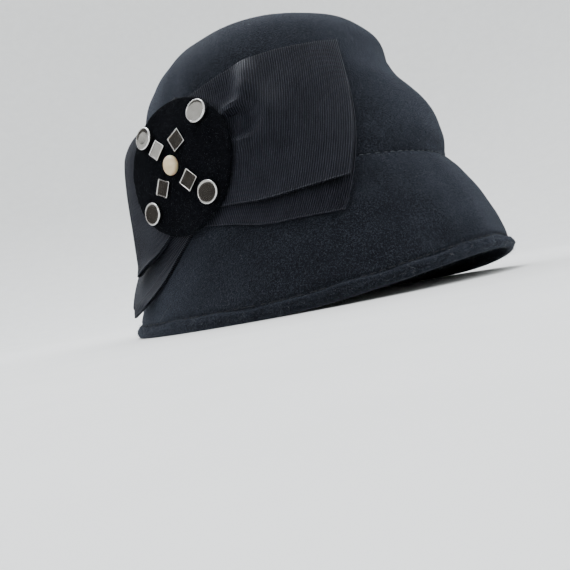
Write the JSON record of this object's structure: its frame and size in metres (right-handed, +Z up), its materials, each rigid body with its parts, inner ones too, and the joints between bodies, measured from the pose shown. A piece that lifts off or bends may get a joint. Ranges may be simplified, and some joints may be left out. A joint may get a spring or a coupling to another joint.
{
  "type": "cloche hat",
  "caption": "Felt cloche hat with a dented crown, a bell brim, a ribbon bow on its right side and a round felt patch with metal studs and a pearl.",
  "frame": {"origin": "middle of the brim on the floor that the hat rests on", "axes": "+Z up out of the crown's top, -Y to the front of the hat, -X to the wearer's right, where the bow is"},
  "size_m": [0.226, 0.264, 0.184],
  "materials": {
    "felt": "matte pressed wool felt, near black with a cool cast",
    "ribbon": "ribbed ribbon, dark charcoal, soft sheen",
    "patch_felt": "dense matte felt, black",
    "stud_metal": "polished silver metal",
    "pearl": "cream pearl lustre"
  },
  "bodies": {
    "root": {"crown": "felt", "brim": "felt", "upper_front_loop": "ribbon", "lower_front_loop": "ribbon", "upper_back_loop": "ribbon", "lower_back_loop": "ribbon", "patch": "patch_felt", "round_stud_1": "stud_metal", "round_stud_2": "stud_metal", "round_stud_3": "stud_metal", "round_stud_4": "stud_metal", "square_stud_1": "stud_metal", "square_stud_2": "stud_metal", "square_stud_3": "stud_metal", "square_stud_4": "stud_metal", "pearl": "pearl"}
  },
  "joints": []
}
